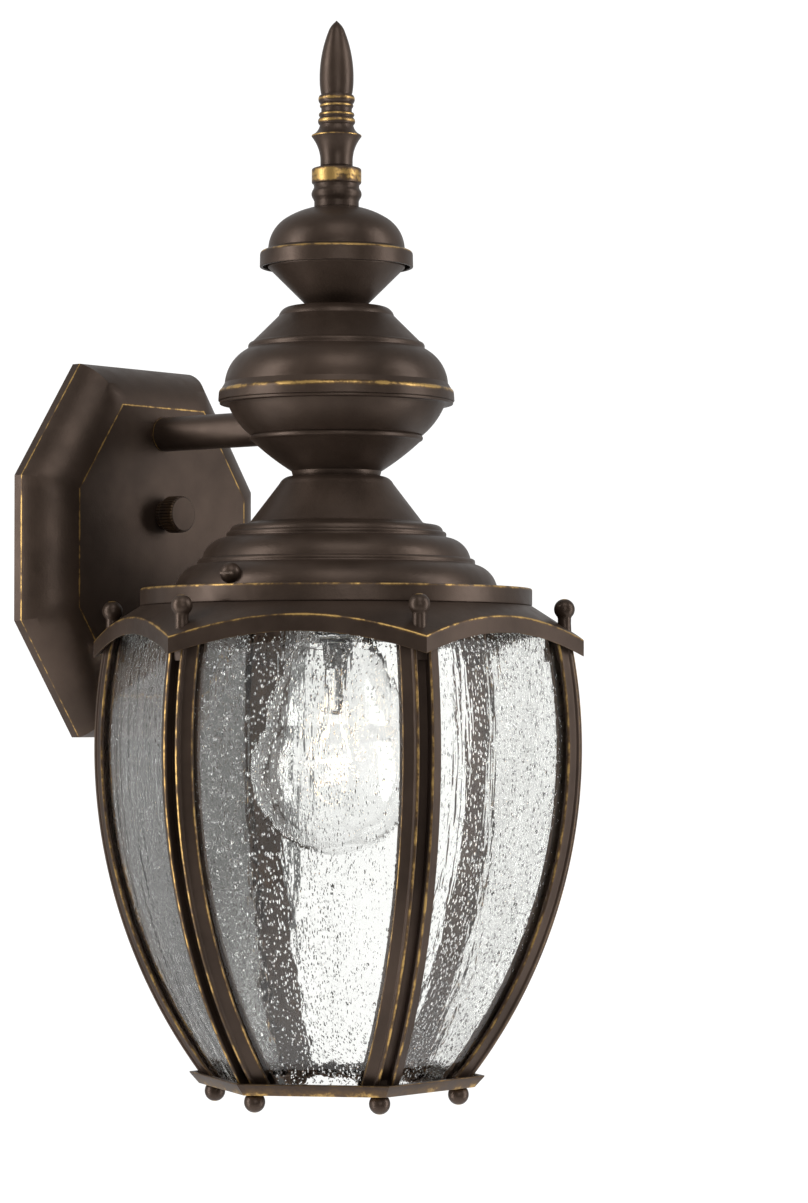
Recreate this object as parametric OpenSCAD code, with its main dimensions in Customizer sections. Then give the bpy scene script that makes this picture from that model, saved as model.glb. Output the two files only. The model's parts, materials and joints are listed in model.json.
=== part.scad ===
// Outdoor wall lantern: a hexagonal glazed lantern that hangs from a horizontal arm.
// Origin: centre of the wall plate's back edge, on the wall. +Z is up and -Y points away
// from the wall. Lengths are in millimetres.

/* [Wall plate] */
// Width of the wall plate
plate_w = 120.6; // [112:0.2:130]
// Height of the wall plate
plate_h = 137.5; // [132:0.5:146]
// Depth from the wall to the plate's flat field
plate_d = 18; // [17:0.5:20]
// Depth of the plate's square-cut rim
plate_rim = 3.6; // [3:0.1:4.5]
// Width of the cove between the rim and the field
cove_w = 15.3; // [13:0.1:17]
// How far the cove sinks below the straight line from rim to field
cove_sag = 3; // [2:0.1:4]
// Distance from the plate's centre to each of its four slanted edges
plate_slant = 64.4; // [62:0.1:66]
// Thickness of the plate's wall
plate_t = 2; // [1.6:0.1:2.4]

/* [Arm and stack] */
// Distance from the wall to the lantern's axis
projection = 101.6; // [100:0.1:106]
// Height of the arm above the plate's centre
arm_z = 43.6; // [43:0.1:44.2]
// Diameter of the arm
arm_d = 12.7; // [12:0.1:13]
// Height of the cap nut above the plate's centre
nut_z = 13.7; // [12:0.1:16]
// Height of the finial's tip
tip_z = 188.75; // [186:0.25:194]
// Thickness of the spun metal
sheet_t = 1.1; // [0.9:0.1:1.2]

/* [Crown] */
// Diameter of the round disc under the roof
disc_d = 140; // [138:1:142]
// Width of the lantern across the crown's corners
crown_w = 177.8; // [176:0.2:180]
// Height of the crown's hexagonal band
band_h = 6; // [5:0.1:7]
// Fall of the crown's cone for each millimetre outwards
cone_fall = 0.645; // [0.6:0.005:0.68]

/* [Cage] */
// Radius of the cage across its corners at the waist
waist_r = 87.9; // [87.4:0.1:88.2]
// Height of the waist
waist_z = -72.1; // [-75:0.1:-70]
// Radius of the curve that each rib follows
rib_curve = 193; // [190:0.5:196]
// Underside of the tray
tray_z = -192.3; // [-192.6:0.1:-192]
// Radius of the tray's lip across its corners
tray_lip_r = 53.75; // [53:0.05:54.5]
// Thickness of the glass
glass_t = 3; // [2.8:0.1:3]
// Diameter of the ball-headed screws
ball_d = 7.4; // [7:0.1:8]

/* [Lamp] */
// Diameter of the lamp's bulb
bulb_d = 60; // [55:1:61]
// Lowest point of the lamp
bulb_low_z = -110.3; // [-112:0.1:-108]

/* [Hidden] */
$fn = 96;
FAR = 400;

bronze = "#4a3a31";
old_brass = "#8a6b34";
steel = "#b9bcc0";
brass = "#c8a24a";

// Angle between the wall plate's slanted edges and its sides
slant_angle = 35.5;

// Strap, stud and cap nut
strap_size = [106, 2, 20];
slot_x = 43.05;
slot_w = 5;
slot_length = 11;
ground_x = 20;
ground_r = 2.4;
stud_r = 2.08;
stud_end = 25.4;
washer_r = 5.5;
washer_l = 3;
nut_r = 6.8;
nut_l = 7;

// Pipe threads, hub and rod
pipe_r = 5.1;
pipe_bore_r = 3.5;
hub_r = 12;
hub_top = 54;
boss_end = 13.5;
rod_r = 3.15;
fit_gap = 0.05;

// Levels of the stacked turned parts
collar_top = 136.1;
dome_top = 121.2;
dome_rim = 99.7;
cup_base = 85.5;
shell_rim = 51.6;
roof_top = 24.7;
disc_top = -15.5;
disc_low = -21.8;
disc_t = 1.5;
collar_ring_r = 50;
dome_foot_r = 57.6;

// Crown
disc_r = disc_d / 2;
band_a = crown_w / 2 * cos(30);
band_t = 2;
cover_t = 1.9;
flange_r = 56;
ball_r = ball_d / 2;
ball_circle = 82;
screw_r = 1.4;
tie_circle = 62;

// Cage: the ribs lie on one arc, and each bent panel on the arc that fits between two ribs
rib_centre = waist_r - rib_curve;
tray_floor = tray_z + 1.5;
rib_low = tray_floor;
drop = waist_z - tray_floor;
rib_low_r = rib_centre + sqrt(rib_curve * rib_curve - drop * drop);
panel_fall = (waist_r - rib_low_r) * cos(30);
panel_curve = (drop * drop + panel_fall * panel_fall) / (2 * panel_fall);
panel_centre = waist_r * cos(30) - panel_curve;
glass_in = 1.35;
glass_edge = 6.4;
foot_circle = 44;
foot_ball_z = tray_z - 2.6;
tray_hole_r = 33;
tray_base_r = 49.8;

// Socket and lamp
socket_r = 19;
socket_top = 5;
socket_low = -28;
cavity_r = 14.7;
shell_r = 14.3;
shell_t = 0.7;
lamp_top = -2.3;
base_r = 13.15;
neck_z = -28;
bulb_r = bulb_d / 2;
bulb_z = bulb_low_z + bulb_r;

// Points along an arc from p to q that bulges s to the left of the way from p to q
function bow(p, q, s, n = 8) =
    let (c = norm(q - p), r = c * c / (8 * abs(s)) + abs(s) / 2, d = (q - p) / c, k = sign(s))
    let (left = [-d[1], d[0]], o = (p + q) / 2 + left * k * (abs(s) - r), h = asin(c / 2 / r))
    [for (i = [0:n]) let (a = -h + 2 * h * i / n) o + d * r * sin(a) + left * k * r * cos(a)];

function unit(v) = v / norm(v);
function side(p, q) = let (d = unit(q - p)) [-d[1], d[0]];
// The outline p moved t to its left, mitred at its corners
function beside(p, t) = [for (i = [0:len(p) - 1])
    let (a = side(p[max(i - 1, 0)], p[max(i, 1)]))
    let (b = side(p[min(i, len(p) - 2)], p[min(i + 1, len(p) - 1)]), m = unit(a + b))
    p[i] + m * t / (m * a)];
function backwards(p) = [for (i = [len(p) - 1:-1:0]) p[i]];
// A sheet whose outer face is p and whose thickness lies t to its left
function sheet(p, t) = concat(p, backwards(beside(p, t)));

// Height of the crown's cone at radius r
function cone_z(r) = disc_low - (r - disc_r) * cone_fall;

module on_axis() { translate([0, -projection, 0]) children(); }
// Six copies, the first towards angle
module six(angle = 0) { for (k = [0:5]) rotate([0, 0, angle + 60 * k]) children(); }
// A round bar from the wall outwards, between two distances from the wall
module bar(r, from, to) { translate([0, -from, 0]) rotate([90, 0, 0]) cylinder(r = r, h = to - from); }
module tube(r, bore, z0, z1) {
    difference() {
        translate([0, 0, z0]) cylinder(r = r, h = z1 - z0);
        translate([0, 0, z0 - 1]) cylinder(r = bore, h = z1 - z0 + 2);
    }
}
module ring(r, wire_r, z) { translate([0, 0, z]) rotate_extrude() translate([r, 0]) circle(r = wire_r, $fn = 32); }
module turned(outline) { rotate_extrude() polygon(outline); }
module hex_bar(across, z0, z1) { translate([0, 0, z0]) cylinder(r = across / sqrt(3), h = z1 - z0, $fn = 6); }
// A hexagonal block whose apothem goes from a0 at z0 to a1 at z1
module hex_taper(a0, a1, z0, z1) {
    intersection_for (k = [0:2])
        rotate([90, 0, 30 + 60 * k])
            linear_extrude(FAR, center = true)
                polygon([[-a0, z0], [a0, z0], [a1, z1], [-a1, z1]]);
}

// ---- Wall plate and its fixings ----
// Half of the plate's section, out to an edge that is half away: rim, cove and flat field
function cove_side(half) = concat([[half, 0]],
    bow([half, plate_rim], [half - cove_w, plate_d], -cove_sag, 7));
module cove_run(half, inset) {
    outline = inset == 0 ? cove_side(half) : beside(cove_side(half), inset);
    low = inset == 0 ? 0 : -1;
    last = len(outline) - 1;
    right = [for (i = [0:last]) [outline[i][0], i == 0 ? low : i == last ? plate_d - inset : outline[i][1]]];
    rotate([0, 0, 180]) linear_extrude(FAR, center = true)
        polygon(concat(right, [for (i = [last:-1:0]) [-right[i][0], right[i][1]]]));
}
module plate_form(inset) {
    intersection() {
        cove_run(plate_w / 2, inset);
        rotate([0, 90, 0]) cove_run(plate_h / 2, inset);
        rotate([0, slant_angle, 0]) cove_run(plate_slant, inset);
        rotate([0, -slant_angle, 0]) cove_run(plate_slant, inset);
    }
}
module wall_plate() {
    color(bronze) difference() {
        plate_form(0);
        plate_form(plate_t);
        translate([0, 0, arm_z]) bar(pipe_r + 0.1, 10, 25);
        translate([0, 0, nut_z]) bar(stud_r + 0.3, 10, 25);
    }
}
module mounting_strap() {
    color(steel) translate([0, 0, nut_z]) difference() {
        translate([-strap_size[0] / 2, -strap_size[1], -strap_size[2] / 2]) cube(strap_size);
        for (s = [-1, 1]) {
            reach = (slot_length - slot_w) / 2;
            for (e = [-reach, reach]) translate([s * slot_x + e, 0, 0]) bar(slot_w / 2, -1, 3);
            translate([s * slot_x - reach, -3, -slot_w / 2]) cube([2 * reach, 4, slot_w]);
        }
        bar(stud_r, -1, 3);
        translate([ground_x, 0, 0]) bar(ground_r, -1, 3);
    }
}
module ground_screw() {
    color("#2f8f46") translate([ground_x, 0, nut_z]) difference() {
        union() {
            bar(ground_r, 0, 3);
            translate([0, -2, 0]) rotate([90, 0, 0]) cylinder(r = 4.6, h = 3, $fn = 6);
        }
        translate([-6, -5.5, -0.5]) cube([12, 1.5, 1]);
    }
}
module centre_stud() { color(steel) translate([0, 0, nut_z]) bar(stud_r, 0, stud_end); }
module stud_nut() {
    color(steel) translate([0, -2, nut_z]) rotate([90, 0, 0]) difference() {
        hex_bar(8.7, 0, 3.2);
        translate([0, 0, -1]) cylinder(r = stud_r, h = 6);
    }
}
// Straight grooves cut along the edge of a knurled ring
module knurl(r, length, count = 28) {
    for (k = [0:count - 1]) rotate([0, 0, 360 / count * k])
        translate([r, 0, -1]) rotate([0, 0, 45]) cube([0.7, 0.7, 2 * (length + 2)], center = true);
}
module nut_washer() {
    color(bronze) translate([0, -plate_d, nut_z]) rotate([90, 0, 0]) difference() {
        cylinder(r = washer_r, h = washer_l);
        translate([0, 0, -1]) cylinder(r = stud_r + fit_gap, h = washer_l + 2);
        knurl(washer_r, washer_l);
    }
}
module cap_nut() {
    color(bronze) translate([0, -plate_d - washer_l, nut_z]) rotate([90, 0, 0]) difference() {
        cylinder(r = nut_r, h = nut_l);
        translate([0, 0, -1]) cylinder(r = stud_r + fit_gap, h = 1 + nut_l - 1.6);
        knurl(nut_r, nut_l, 36);
    }
}

// ---- Arm, hub, rod and pipe ----
module arm_tube() {
    color(bronze) translate([0, 0, arm_z]) difference() {
        bar(arm_d / 2, plate_d, projection - boss_end);
        bar(pipe_r, plate_d - 1, projection);
    }
}
module arm_nipple() {
    color(brass) translate([0, 0, arm_z]) difference() {
        bar(pipe_r, 9, projection - 7);
        bar(pipe_bore_r, 8, projection);
    }
}
module arm_locknut() {
    color(steel) translate([0, plate_t - plate_d, arm_z]) rotate([-90, 0, 0]) difference() {
        hex_bar(15, 0, 3.2);
        translate([0, 0, -1]) cylinder(r = pipe_r, h = 6);
    }
}
module hub() {
    low = roof_top + sheet_t;
    color(brass) on_axis() difference() {
        union() {
            translate([0, 0, low]) cylinder(r = hub_r, h = hub_top - low);
            translate([0, 0, arm_z]) rotate([-90, 0, 0]) cylinder(r = 8, h = boss_end);
        }
        translate([0, 0, low - 1]) cylinder(r = pipe_r, h = arm_z - low + 1);
        translate([0, 0, arm_z]) rotate([-90, 0, 0]) cylinder(r = pipe_r, h = FAR);
        translate([0, 0, arm_z + 5.5]) cylinder(r = rod_r, h = 20);
    }
}
module lower_nipple() { color(brass) on_axis() tube(pipe_r, pipe_bore_r, socket_top, arm_z - 6); }
module roof_locknut() {
    color(steel) on_axis() difference() {
        hex_bar(15, roof_top - sheet_t - 3.2, roof_top - sheet_t);
        cylinder(r = pipe_r, h = 40);
    }
}
module centre_rod() { color(steel) on_axis() translate([0, 0, arm_z + 5.5]) cylinder(r = rod_r, h = 98.4); }

// ---- Turned finial and spun shells ----
finial_outline = concat(
    [[0, tip_z]], bow([0.5, 188.2], [3.1, 184.4], 0.35, 3), bow([3.1, 184.4], [6.1, 167.2], 0.85),
    bow([6.1, 167.2], [5.5, 161.7], 0.15, 3),
    bow([6.1, 161.6], [6.1, 158.9], 0.45, 5), bow([5.7, 158.6], [5.7, 157.2], 0.35, 4),
    [[5.5, 157], [5.5, 155.5]], bow([6, 155.4], [6, 153.9], 0.4, 4),
    bow([6, 153.6], [6, 150.9], 0.7, 5), bow([6.1, 150.5], [8.9, 147.3], -0.5, 5),
    bow([9, 146.9], [5.8, 138.4], -0.75), [[5.8, collar_top], [0, collar_top]]);
module finial() {
    color(bronze) on_axis() difference() {
        turned(finial_outline);
        translate([0, 0, collar_top - 1]) cylinder(r = rod_r + fit_gap, h = 13.5);
    }
}
collar_outline = concat(
    [[rod_r + 0.15, collar_top], [5.8, collar_top]], bow([8.2, 135.4], [8.9, 134.6], 0.2, 3),
    bow([8.9, 130.6], [8.2, 129.6], 0.25, 3), [[8.1, 128.5]],
    bow([8.4, 127.7], [8.4, 124.4], 0.6, 6), [[8, 123.5], [8, dome_top], [rod_r + 0.15, dome_top]]);
module collar() { color(old_brass) on_axis() turned(collar_outline); }

module spun(outline, t) { color(bronze) on_axis() turned(sheet(outline, t)); }
module upper_dome() {
    spun(concat([[rod_r + 0.15, dome_top]], bow([8.4, dome_top], [18.5, 117.1], 0.5, 4),
        bow([18.5, 117.1], [24.5, 106.4], 1.5), bow([26.4, 105.6], [27.4, 104.4], 0.25, 3),
        [[27.5, dome_rim]]), -sheet_t);
}
module upper_cup() {
    spun([[rod_r + 0.15, cup_base], [10.6, cup_base], [11.3, 86.6], [24.5, dome_rim],
        [24.5, 103.6]], sheet_t);
}
module mid_shell() {
    color(bronze) on_axis() union() {
        turned(sheet(concat([[rod_r + 0.15, cup_base]], bow([16.6, cup_base], [20.7, 82.2], 0.9, 5),
            [[30.6, 72.4]], bow([31.7, 69.9], [40, 58], 2, 8),
            bow([41.2, 56], [42.1, 54.6], 0.2, 3), [[42.3, shell_rim]]), -sheet_t));
        ring(30.7, 0.9, 71.7);
    }
}
module mid_bowl() {
    color(bronze) difference() {
        on_axis() union() {
            turned(sheet(concat([[pipe_r + 0.1, roof_top], [15.6, roof_top]],
                bow([16.1, 26.6], [30.2, 37.6], -0.4, 5), bow([31.1, 39.6], [38.4, 49.4], -0.7, 6),
                [[39, shell_rim - sheet_t], [41.8, shell_rim - sheet_t]]), sheet_t));
            turned([[30, 37.3], [30.9, 37.6], [31.2, 38.3], [30.9, 39], [30, 39.3]]);
        }
        translate([0, 0, arm_z]) bar(arm_d / 2 + 0.1, 50, projection);
    }
}
// The roof's lowest flare, which the side screws' heads sit on
roof_skirt = bow([49.8, -6.9], [dome_foot_r, disc_top], 1.8);
roof_screw_z = -11.4;
module roof_dome() {
    color(bronze) on_axis() difference() {
        union() {
            turned(sheet(concat([[pipe_r + 0.1, roof_top]], bow([15.6, roof_top], [20.4, 22.1], 0.9, 5),
                [[31, 8.2]], bow([34.6, 7.1], [38.2, 4], 1.2, 5), bow([40, 2], [48, -5.2], 2.1),
                roof_skirt), -sheet_t));
            ring(38.6, 0.8, 4.1);
            ring(48.9, 0.8, -5.7);
        }
        for (s = [0, 180]) rotate([0, 0, s]) translate([40, 0, roof_screw_z])
            rotate([0, 90, 0]) cylinder(r = screw_r + 0.1, h = 30);
        translate([0, 0, disc_top - 5]) cylinder(r = disc_r, h = 5);
    }
}
module roof_screws() {
    color(bronze) on_axis() for (s = [0, 180]) rotate([0, 0, s]) {
        difference() {
            translate([57, 0, roof_screw_z]) sphere(r = ball_r);
            translate([59.3, -5, roof_screw_z - 0.45]) cube([4, 10, 0.9]);
            turned(concat([[45, disc_top], [45, -6.9]], roof_skirt));
        }
        translate([47, 0, roof_screw_z]) rotate([0, 90, 0]) cylinder(r = screw_r, h = 9);
    }
}
module tie_places() { for (k = [0:2]) rotate([0, 0, 30 + 120 * k]) translate([tie_circle, 0, 0]) children(); }
module roof_disc() {
    outline = concat([[collar_ring_r, -9.6], [collar_ring_r, disc_top]],
        bow([disc_r - 1.2, disc_top], [disc_r, disc_top - 1.2], 0.35, 4), [[disc_r, disc_low]]);
    color(bronze) on_axis() difference() {
        union() {
            turned(sheet(outline, -disc_t));
            tie_places() translate([0, 0, disc_low]) cylinder(r = 3.5, h = disc_top - disc_low - 1);
        }
        for (s = [0, 180]) rotate([0, 0, s]) translate([40, 0, roof_screw_z])
            rotate([0, 90, 0]) cylinder(r = screw_r, h = 14);
        tie_places() translate([0, 0, disc_low - 1]) cylinder(r = 1.75, h = 5.5);
    }
}
module disc_screws() {
    color(steel) on_axis() tie_places() {
        translate([0, 0, disc_low - disc_t - 2]) cylinder(r = 3.2, h = 2);
        translate([0, 0, disc_low - disc_t - 1]) cylinder(r = 1.75, h = 5.5);
    }
}

// ---- Crown: a cone cut off by a hexagonal band, so that its edges arch ----
// All that lies above a cone fall millimetres under the crown's own
module above_cone(fall) {
    turned([[0, 60], [0, cone_z(0) - fall], [130, cone_z(130) - fall], [130, 60]]);
}
module crown() {
    color(bronze) on_axis() difference() {
        hex_taper(band_a, band_a, -60, disc_low);
        difference() {
            translate([0, 0, -70]) cylinder(r = 130, h = 140);
            turned([[0, cone_z(0) - band_h], [0, disc_low], [disc_r, disc_low],
                [120, cone_z(120)], [120, cone_z(120) - band_h]]);
        }
        difference() {
            hex_taper(band_a - band_t, band_a - band_t, -70, disc_low + 1);
            above_cone(cover_t);
        }
        translate([0, 0, -70]) cylinder(r = flange_r, h = 80);
        translate([0, 0, -70]) cylinder(r = disc_r - 2, h = 70 + disc_low - disc_t);
        six() translate([ball_circle, 0, -50]) cylinder(r = screw_r + 0.1, h = 40);
        tie_places() translate([0, 0, -40]) cylinder(r = 1.85, h = 40);
    }
}
module crown_ball_screws() {
    color(bronze) on_axis() six() difference() {
        translate([ball_circle, 0, 0]) {
            translate([0, 0, cone_z(ball_circle) + 6.4]) sphere(r = ball_r);
            translate([0, 0, cone_z(ball_circle) - 2]) cylinder(r = 2.5, h = 6);
            translate([0, 0, cone_z(ball_circle) - 8]) cylinder(r = screw_r, h = 10);
        }
        difference() {
            rotate([0, 0, -10]) rotate_extrude(angle = 20)
                polygon([[70, cone_z(70)], [95, cone_z(95)], [95, -50], [70, -50]]);
            translate([ball_circle, 0, -60]) cylinder(r = screw_r, h = 60);
        }
    }
}

// ---- Cage ----
// Section of a rib: outwards along x from the rib's curve, across the corner along y
rib_half = [[-3, 0], [-3, 1.9], [-0.5, 1.9], [0, 2.3], [0, 3.1], [-0.5, 3.6], [-1.3, 3.6],
    [-3.2, 6.9], [-4.6, 6.9], [-2.9, 3.9], [-4.2, 1.9], [-6.5, 1.9], [-8.4, 5.6],
    [-9.4, 5.6], [-9.4, 0]];
function across(p) = [for (i = [len(p) - 1:-1:0]) [p[i][0], -p[i][1]]];
module rib_curved(outline) {
    top = asin((-24 - waist_z) / rib_curve);
    low = asin((rib_low - 6 - waist_z) / rib_curve);
    translate([rib_centre, 0, waist_z]) rotate([90, 0, 0]) rotate([0, 0, low])
        rotate_extrude(angle = top - low, $fn = 180) translate([rib_curve, 0]) polygon(outline);
}
module rib() {
    difference() {
        union() {
            rib_curved(concat(rib_half, across(rib_half)));
            translate([74, -2.6, -42]) cube([10.2, 5.2, 20]);
            translate([38.5, -2.6, rib_low - 1]) cube([8, 5.2, 7]);
        }
        above_cone(cover_t);
        translate([0, 0, rib_low - 30]) cylinder(r = 100, h = 30);
        translate([ball_circle, 0, cone_z(ball_circle) - 8]) cylinder(r = screw_r, h = 10);
        translate([foot_circle, 0, rib_low - 1]) cylinder(r = screw_r, h = 6.2);
    }
}
module rib_at(k) { color(old_brass) on_axis() rotate([0, 0, -90 - 30 + 60 * k]) rib(); }
module rib_1() { rib_at(1); }
module rib_2() { rib_at(2); }
module rib_3() { rib_at(3); }
module rib_4() { rib_at(4); }
module rib_5() { rib_at(5); }
module rib_6() { rib_at(6); }

module panel_roll(inset) {
    translate([panel_centre, 0, waist_z]) rotate([90, 0, 0])
        cylinder(r = panel_curve - inset, h = FAR, center = true, $fn = 240);
}
module glass_panel() {
    difference() {
        intersection() {
            panel_roll(glass_in);
            rotate([0, 0, 60]) panel_roll(glass_edge);
            rotate([0, 0, -60]) panel_roll(glass_edge);
            translate([20, -60, tray_floor + 0.2]) cube([80, 120, 170]);
        }
        panel_roll(glass_in + glass_t);
        above_cone(cover_t + 0.6);
    }
}
module glass_at(k) { color("#c9d6d6", 0.4) on_axis() rotate([0, 0, -90 + 60 * (k - 1)]) glass_panel(); }
module glass_1() { glass_at(1); }
module glass_2() { glass_at(2); }
module glass_3() { glass_at(3); }
module glass_4() { glass_at(4); }
module glass_5() { glass_at(5); }
module glass_6() { glass_at(6); }

module tray() {
    base = tray_base_r * cos(30);
    lip = tray_lip_r * cos(30);
    high = tray_z + 4.3;
    rise = (lip - base) / (high - tray_z);
    color(bronze) on_axis() difference() {
        hex_taper(base, lip, tray_z, high);
        hex_taper(base - 1.9 + rise * 1.5, base - 1.9 + rise * 6, tray_floor, tray_z + 6);
        translate([0, 0, tray_z - 1]) cylinder(r = tray_hole_r, h = 8);
        six() translate([foot_circle, 0, tray_z - 1]) cylinder(r = screw_r + 0.1, h = 8);
    }
}
module foot_ball_screws() {
    color(bronze) on_axis() six() translate([foot_circle, 0, 0]) {
        difference() {
            translate([0, 0, foot_ball_z]) sphere(r = ball_r);
            translate([0, 0, tray_z]) cylinder(r = 5, h = 5);
        }
        translate([0, 0, foot_ball_z]) cylinder(r = screw_r, h = tray_floor + 3.5 - foot_ball_z);
    }
}

// ---- Socket ----
screw_x = 11.5;
wire_x = 1.9;
wire_r = 1.1;
module socket_body() {
    color("#efece2") on_axis() difference() {
        turned(concat([[0, socket_top], [16.5, socket_top]], bow([16.5, socket_top], [socket_r, 2.5], 0.7, 4),
            [[socket_r, -8], [17.8, -9.5], [17.8, socket_low], [cavity_r, socket_low], [cavity_r, 0], [0, 0]]));
        for (s = [-1, 1]) {
            translate([s * wire_x, 1, -1]) cylinder(r = wire_r + 0.1, h = 8);
            translate([s * screw_x, 0, 1]) cylinder(r = 1.75, h = 8);
        }
    }
}
module socket_shell() { color(brass) on_axis() tube(shell_r, shell_r - shell_t, -26, -1); }
module socket_contact() {
    color(brass) on_axis() {
        translate([-3, -3, -2.2]) cube([6, 9, 0.5]);
        translate([-3, 5.5, -2.2]) cube([6, 0.5, 2.2]);
    }
}
module socket_cap() {
    color(steel) on_axis() difference() {
        translate([0, 0, socket_top]) cylinder(r = 15.5, h = 1.5);
        translate([0, 0, socket_top - 1]) cylinder(r = pipe_r, h = 4);
        for (s = [-1, 1]) translate([s * screw_x, 0, socket_top - 1]) cylinder(r = 1.85, h = 4);
    }
}
module socket_screws() {
    color(steel) on_axis() for (s = [-1, 1]) translate([s * screw_x, 0, 0]) difference() {
        union() {
            translate([0, 0, 1.2]) cylinder(r = 1.75, h = 6);
            translate([0, 0, socket_top + 1.5]) cylinder(r = 3.1, h = 2);
        }
        translate([-4, -0.4, socket_top + 2.7]) cube([8, 0.8, 2]);
    }
}

// ---- Lamp ----
bulb_outline = concat(
    [[0, bulb_low_z], [2, bulb_low_z]], [for (a = [-84:7:28]) bulb_r * [cos(a), sin(a)] + [0, bulb_z]],
    bow([bulb_r * cos(32), bulb_z + bulb_r * sin(32)], [14.6, -36], -1.6, 6), [[13.5, neck_z]]);
module lamp_glass() { color("white", 0.3) on_axis() turned(sheet(bulb_outline, 0.7)); }
module lamp_base() {
    color("#c9b27a") on_axis() turned([[12.4, neck_z], [base_r + 0.35, neck_z],
        [base_r, neck_z + 3], [base_r, -8], [9, -6], [8.3, -6], [12.4, -8.6]]);
}
module lamp_insulator() {
    color("#1c1c1c") on_axis() turned([[0, lamp_top], [4, lamp_top], [4.6, -3.4], [8.2, -6], [8.2, -7.4], [0, -7.4]]);
}
module lamp_stem() {
    color("white", 0.4) on_axis() turned([[0, neck_z], [12.3, neck_z], [12.3, neck_z - 1.2],
        [5.5, -35], [4.2, -44], [3, -56], [2.2, -60.7], [0, -60.7]]);
}
filament_x = 9;
module lamp_filament() {
    color("#d9a35a") on_axis() union() {
        for (s = [-1, 1]) translate([s * 2.2, 0, -61]) rotate([0, s * (180 - 24.5), 0])
            cylinder(r = 0.5, h = 17.6, $fn = 24);
        translate([-filament_x - 0.4, 0, -77]) rotate([0, 90, 0]) cylinder(r = 0.7, h = 2 * filament_x + 0.8, $fn = 24);
    }
}

// ---- Leads: through the arm, down the pipe to the socket ----
module lead(x, rise, r, end_z) {
    bend = 5;
    z = arm_z + rise;
    translate([x, 0, z]) bar(r, 4, projection - bend - 1);
    translate([x, -projection + bend + 1, z - bend]) rotate([90, 0, -90])
        rotate_extrude(angle = 90) translate([bend, 0]) circle(r = r, $fn = 32);
    translate([x, -projection + 1, end_z]) cylinder(r = r, h = z - bend - end_z);
}
module wire_black() { color("#1d1d1d") lead(wire_x, 0.6, wire_r, 0.8); }
module wire_white() { color("#e8e6df") lead(-wire_x, 0.6, wire_r, 0.8); }
module wire_ground() { color("#b87333") translate([0, 0, arm_z - 2.3]) bar(0.9, 4, projection - 2); }

wall_plate();
mounting_strap();
ground_screw();
centre_stud();
stud_nut();
nut_washer();
cap_nut();
arm_tube();
arm_nipple();
arm_locknut();
hub();
lower_nipple();
roof_locknut();
centre_rod();
finial();
collar();
upper_dome();
upper_cup();
mid_shell();
mid_bowl();
roof_dome();
roof_screws();
roof_disc();
disc_screws();
crown();
crown_ball_screws();
rib_1();
rib_2();
rib_3();
rib_4();
rib_5();
rib_6();
glass_1();
glass_2();
glass_3();
glass_4();
glass_5();
glass_6();
tray();
foot_ball_screws();
socket_body();
socket_shell();
socket_contact();
socket_cap();
socket_screws();
lamp_glass();
lamp_base();
lamp_insulator();
lamp_stem();
lamp_filament();
wire_black();
wire_white();
wire_ground();
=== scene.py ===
import json
import math

import bmesh
import bpy
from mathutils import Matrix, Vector, noise


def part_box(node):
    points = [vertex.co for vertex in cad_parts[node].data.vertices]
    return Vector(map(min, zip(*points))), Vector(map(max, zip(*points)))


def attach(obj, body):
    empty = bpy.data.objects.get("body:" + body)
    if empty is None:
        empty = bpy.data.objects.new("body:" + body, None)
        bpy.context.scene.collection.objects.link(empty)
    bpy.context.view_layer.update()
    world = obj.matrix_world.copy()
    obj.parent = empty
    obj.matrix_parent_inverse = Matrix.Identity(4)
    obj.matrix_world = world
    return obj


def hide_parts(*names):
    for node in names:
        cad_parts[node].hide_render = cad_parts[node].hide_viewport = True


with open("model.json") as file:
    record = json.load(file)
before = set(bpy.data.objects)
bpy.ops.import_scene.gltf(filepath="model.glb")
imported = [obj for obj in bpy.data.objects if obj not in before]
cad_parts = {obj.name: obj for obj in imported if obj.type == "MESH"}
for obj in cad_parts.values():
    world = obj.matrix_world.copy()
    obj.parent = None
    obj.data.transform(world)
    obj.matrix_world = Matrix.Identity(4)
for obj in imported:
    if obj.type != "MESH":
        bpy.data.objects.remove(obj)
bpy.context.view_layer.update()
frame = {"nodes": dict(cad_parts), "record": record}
SLOTS = {s["node"]: s["material_slot"] for s in frame["record"]["subparts"]}

# ---- Driving sizes, in millimetres; places come from the frame where it holds them ----
MM = 0.001
AXIS_Y = (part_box("upper_dome")[0][1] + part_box("upper_dome")[1][1]) / 2 / MM
ARM_Z = (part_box("arm_tube")[0][2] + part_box("arm_tube")[1][2]) / 2 / MM
NUT_Z = (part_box("cap_nut")[0][2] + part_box("cap_nut")[1][2]) / 2 / MM
TIP_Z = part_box("finial")[1][2] / MM
ARM_R = 6.35
SHEET = 1.1
ROD_GAP, PIPE_GAP = 0.15, 0.1
COLLAR_TOP, DOME_TOP, DOME_RIM, CUP_BASE = 136.1, 121.2, 99.7, 85.5
SHELL_RIM, ROOF_TOP, DISC_TOP, DISC_LOW = 51.6, 24.7, -15.5, -21.8
PIPE_R, ROD_R, SCREW_R, BALL_R = 5.1, 3.15, 1.4, 3.7
DISC_R, DISC_T, FLANGE_R, FLANGE_T, CONE_FALL, BAND_H = 70.0, 1.5, 56.0, 1.5, 0.645, 6.0
BAND_A, BAND_T, COVER_T = 77.0, 2.0, 1.9
BALL_CIRCLE, FOOT_CIRCLE, ROOF_SCREW_Z, ROOF_SCREW_R = 82.0, 44.0, -11.4, 57.0
BALL_NECK_R, BALL_LIFT, FOOT_DROP = 2.4, 6.4, 2.6
WAIST_R, WAIST_Z, RIB_CURVE = 87.9, -72.1, 193.0
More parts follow.
